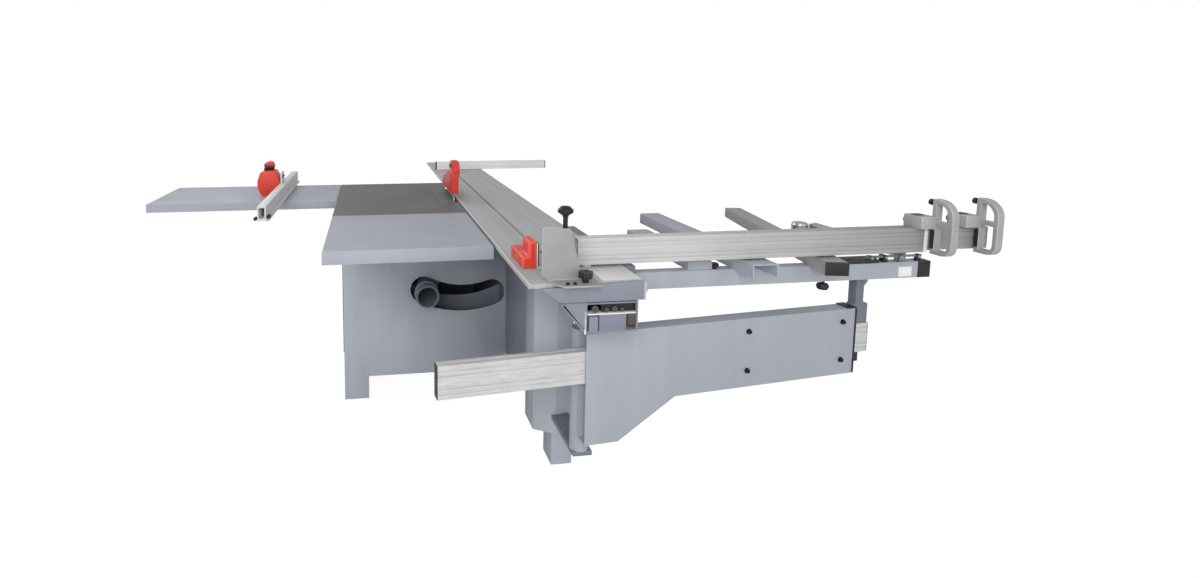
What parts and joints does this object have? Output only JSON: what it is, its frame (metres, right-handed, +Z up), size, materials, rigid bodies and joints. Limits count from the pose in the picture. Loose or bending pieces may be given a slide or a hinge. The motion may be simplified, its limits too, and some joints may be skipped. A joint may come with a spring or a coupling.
{
  "type": "sliding panel saw",
  "caption": "Sliding panel saw: tilting circular blade in a cabinet with tables, rip fence, sliding carriage, crosscut fence on an outrigger and a telescopic swing arm.",
  "frame": {"origin": "on the floor under the middle of the machine's bounding box at rest", "axes": "+X from the rip side across to the outrigger, +Y from the outfeed end to the infeed end along the cut, +Z up"},
  "size_m": [3.3553, 3.278, 1.1283],
  "materials": {
    "painted_steel": "satin blue-grey paint",
    "painted_steel_shade": "satin dark grey paint",
    "cast_iron": "ground and oiled",
    "anodised_aluminium": "satin anodised",
    "cast_aluminium": "sand cast",
    "bright_steel": "turned bright",
    "red_plastic": "moulded",
    "black_plastic": "moulded",
    "green_plastic": "moulded",
    "rubber": "matt"
  },
  "bodies": {
    "frame": {"cabinet_base": "painted_steel", "cabinet_near_panel": "painted_steel", "cabinet_far_panel": "painted_steel", "cabinet_right_panel": "painted_steel", "control_box": "black_plastic", "main_table": "cast_iron", "table_insert": "anodised_aluminium", "outfeed_table": "painted_steel", "wing_table": "painted_steel", "rip_rail": "bright_steel", "column": "painted_steel", "column_brace": "painted_steel_shade", "slide_beam": "anodised_aluminium", "hinge_post": "painted_steel", "trunnion_near": "cast_iron", "trunnion_far": "cast_iron"},
    "door": {"cabinet_door": "painted_steel"},
    "start_button": {"start_button": "green_plastic"},
    "stop_button": {"stop_button": "red_plastic"},
    "height_wheel": {"height_handwheel": "black_plastic"},
    "tilt_wheel": {"tilt_handwheel": "black_plastic"},
    "tilting_unit": {"saw_carrier": "painted_steel_shade", "dust_hood": "painted_steel_shade", "dust_duct": "black_plastic", "scoring_unit": "painted_steel_shade"},
    "scoring_rotor": {"scoring_blade": "bright_steel"},
    "lifting_unit": {"arbor_bracket": "cast_iron", "saw_motor": "painted_steel_shade", "drive_belt": "rubber", "riving_knife": "bright_steel"},
    "blade_rotor": {"saw_blade": "bright_steel", "arbor_shaft": "bright_steel", "blade_nut": "bright_steel"},
    "motor_rotor": {"motor_pulley": "bright_steel"},
    "guard": {"blade_guard": "red_plastic"},
    "carriage": {"carriage_top": "anodised_aluminium", "carriage_end_plate": "painted_steel", "clamp_plate": "cast_aluminium", "push_handle": "black_plastic", "near_rail": "painted_steel", "inner_rail": "painted_steel", "clamp_bar": "painted_steel_shade", "cross_bar": "painted_steel", "angled_bar": "anodised_aluminium"},
    "star": {"star_knob": "black_plastic"},
    "shoe": {"edging_shoe": "red_plastic"},
    "mitre": {"mitre_bar": "anodised_aluminium"},
    "roller": {"support_roller": "bright_steel"},
    "fence": {"crosscut_fence": "anodised_aluminium"},
    "extension": {"fence_extension": "anodised_aluminium", "stop_slider_b": "cast_aluminium"},
    "flip_b": {"flip_stop_b": "cast_aluminium"},
    "stop_a": {"stop_slider_a": "cast_aluminium"},
    "flip_a": {"flip_stop_a": "cast_aluminium"},
    "arm": {"swing_arm": "painted_steel"},
    "bar": {"telescopic_bar": "anodised_aluminium", "support_post": "painted_steel"},
    "rip": {"rip_head": "red_plastic"},
    "lever": {"rip_lever": "red_plastic"},
    "rip_fence": {"rip_fence": "anodised_aluminium"}
  },
  "joints": [
    {"name": "door_hinge", "type": "hinge", "parent": "frame", "child": "door", "pos_m": [-0.66235, -0.4739, 0], "axis": [0, 0, 1], "range_deg": [0, 110]},
    {"name": "start_press", "type": "slide", "parent": "frame", "child": "start_button", "axis": [0, -1, 0], "range_m": [0, 0.005], "stiffness_N_per_m": 600},
    {"name": "stop_press", "type": "slide", "parent": "frame", "child": "stop_button", "axis": [0, -1, 0], "range_m": [0, 0.005], "stiffness_N_per_m": 600},
    {"name": "tilt", "type": "hinge", "parent": "frame", "child": "tilting_unit", "pos_m": [-0.08235, 0.061, 0.9], "axis": [0, -1, 0], "range_deg": [0, 45]},
    {"name": "blade_lift", "type": "slide", "parent": "tilting_unit", "child": "lifting_unit", "axis": [0, 0, 1], "range_m": [-0.09, 0]},
    {"name": "guard_float", "type": "slide", "parent": "lifting_unit", "child": "guard", "axis": [0, 0, 1], "range_m": [0, 0.09]},
    {"name": "height_wheel_turn", "type": "hinge", "parent": "frame", "child": "height_wheel", "pos_m": [-0.18235, 0.501, 0.5], "axis": [0, 1, 0], "range_deg": [0, 1620]},
    {"name": "tilt_wheel_turn", "type": "hinge", "parent": "frame", "child": "tilt_wheel", "pos_m": [-0.44235, 0.501, 0.5], "axis": [0, 1, 0], "range_deg": [0, 900]},
    {"name": "scoring_spin", "type": "hinge", "parent": "tilting_unit", "child": "scoring_rotor", "pos_m": [-0.08235, 0.286, 0.846], "axis": [1, 0, 0], "continuous": true},
    {"name": "blade_spin", "type": "hinge", "parent": "lifting_unit", "child": "blade_rotor", "pos_m": [-0.08235, 0.061, 0.84], "axis": [1, 0, 0], "continuous": true},
    {"name": "motor_spin", "type": "hinge", "parent": "lifting_unit", "child": "motor_rotor", "pos_m": [-0.08235, 0.061, 0.6], "axis": [1, 0, 0], "continuous": true},
    {"name": "carriage_slide", "type": "slide", "parent": "frame", "child": "carriage", "axis": [0, 1, 0], "range_m": [-1.5, 1.5]},
    {"name": "star_knob_turn", "type": "hinge", "parent": "carriage", "child": "star", "pos_m": [0.10965, -1.603, 0.9], "axis": [0, 0, 1], "range_deg": [-180, 180]},
    {"name": "shoe_slide", "type": "slide", "parent": "carriage", "child": "shoe", "axis": [0, 1, 0], "range_m": [0, 1.3]},
    {"name": "mitre_bar_slide", "type": "slide", "parent": "carriage", "child": "mitre", "axis": [0, 1, 0], "range_m": [-0.9, 0.35]},
    {"name": "roller_spin", "type": "hinge", "parent": "carriage", "child": "roller", "pos_m": [1.42265, -0.899, 0.8808], "axis": [0, 1, 0], "continuous": true},
    {"name": "fence_mitre", "type": "hinge", "parent": "carriage", "child": "fence", "pos_m": [0.17765, -1.419, 0.909], "axis": [0, 0, 1], "range_deg": [-45, 45]},
    {"name": "stop_a_slide", "type": "slide", "parent": "fence", "child": "stop_a", "axis": [1, 0, 0], "range_m": [-1, 0]},
    {"name": "flip_a_turn", "type": "hinge", "parent": "stop_a", "child": "flip_a", "pos_m": [1.43765, -1.452, 1.02], "axis": [-1, 0, 0], "range_deg": [0, 90]},
    {"name": "extension_slide", "type": "slide", "parent": "fence", "child": "extension", "axis": [1, 0, 0], "range_m": [0, 0.6]},
    {"name": "flip_b_turn", "type": "hinge", "parent": "extension", "child": "flip_b", "pos_m": [1.61465, -1.452, 1.02], "axis": [-1, 0, 0], "range_deg": [0, 90]},
    {"name": "arm_swing", "type": "hinge", "parent": "frame", "child": "arm", "pos_m": [0.18765, -1.364, 0], "axis": [0, 0, 1], "range_deg": [-54, 54]},
    {"name": "bar_slide", "type": "slide", "parent": "arm", "child": "bar", "axis": [0.9954, 0.0958, 0], "range_m": [0, 0.75]},
    {"name": "rip_slide", "type": "slide", "parent": "frame", "child": "rip", "axis": [1, 0, 0], "range_m": [-0.5, 0.74]},
    {"name": "lever_turn", "type": "hinge", "parent": "rip", "child": "lever", "pos_m": [-1.08765, 0.176, 1.0563], "axis": [1, 0, 0], "range_deg": [0, 40]},
    {"name": "rip_fence_slide", "type": "slide", "parent": "rip", "child": "rip_fence", "axis": [0, 1, 0], "range_m": [-0.3, 0.3]}
  ],
  "couplings": [
    {"joint": "height_wheel_turn", "follows": "blade_lift", "rad_per_m": -314.16},
    {"joint": "guard_float", "follows": "blade_lift", "ratio": -1},
    {"joint": "tilt_wheel_turn", "follows": "tilt", "ratio": 20},
    {"joint": "motor_spin", "follows": "blade_spin", "ratio": 0.66667},
    {"joint": "arm_swing", "follows": "carriage_slide", "rad_per_m": 0.62832}
  ]
}
